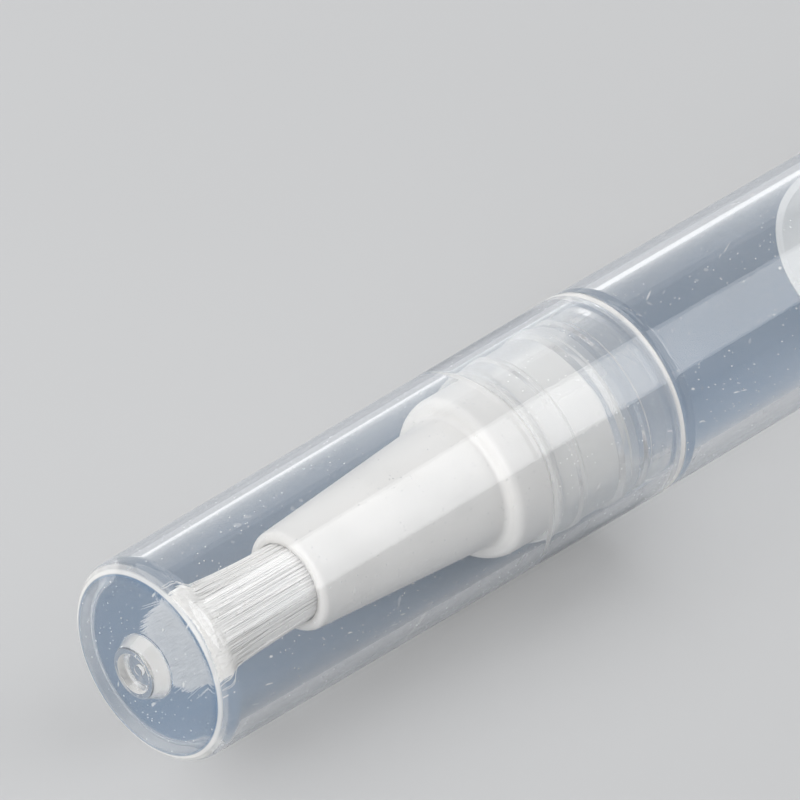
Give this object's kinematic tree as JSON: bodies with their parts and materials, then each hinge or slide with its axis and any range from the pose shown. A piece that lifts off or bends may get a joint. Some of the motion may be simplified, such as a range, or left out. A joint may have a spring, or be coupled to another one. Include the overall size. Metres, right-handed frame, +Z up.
{
  "type": "nail oil pen",
  "caption": "Translucent round twist-feed pen with a pull-off cap over a white stepped nozzle and bristle brush; turning the tail drives a piston that feeds oil to the brush.",
  "frame": {"origin": "bottom centre of the pen's box as it lies on its side", "axes": "X runs along the pen, cap towards -X and twist knob towards +X; Z is up"},
  "size_m": [0.1332, 0.012, 0.012],
  "materials": {
    "clear_plastic": "gloss",
    "white_plastic": "satin",
    "bristles": "matte",
    "soft_plastic": "matte"
  },
  "bodies": {
    "barrel": {"barrel": "clear_plastic", "brush_holder": "white_plastic", "brush_tuft": "bristles", "brush_seat": "white_plastic", "feed_plug": "white_plastic", "screw_nut": "white_plastic", "ratchet_ring": "white_plastic"},
    "cap": {"cap": "clear_plastic"},
    "knob": {"twist_knob": "clear_plastic", "tail_plug": "clear_plastic", "drive_sleeve": "white_plastic", "click_ring": "white_plastic"},
    "piston": {"piston": "soft_plastic"},
    "screw": {"lead_screw": "white_plastic"}
  },
  "joints": [
    {"name": "cap_pull", "type": "slide", "parent": "barrel", "child": "cap", "axis": [-1, 0, 0], "range_m": [0, 0.045]},
    {"name": "knob_twist", "type": "hinge", "parent": "barrel", "child": "knob", "pos_m": [0.04655, 0, 0.006], "axis": [-1, 0, 0], "range_deg": [0, 1800], "deforming": ["click_ring"]},
    {"name": "piston_feed", "type": "slide", "parent": "barrel", "child": "piston", "axis": [-1, 0, 0], "range_m": [0, 0.015]},
    {"name": "screw_feed", "type": "slide", "parent": "knob", "child": "screw", "axis": [-1, 0, 0], "range_m": [0, 0.015]}
  ],
  "couplings": [
    {"joint": "piston_feed", "follows": "knob_twist", "m_per_rad": 0.00047746},
    {"joint": "screw_feed", "follows": "knob_twist", "m_per_rad": 0.00047746}
  ]
}
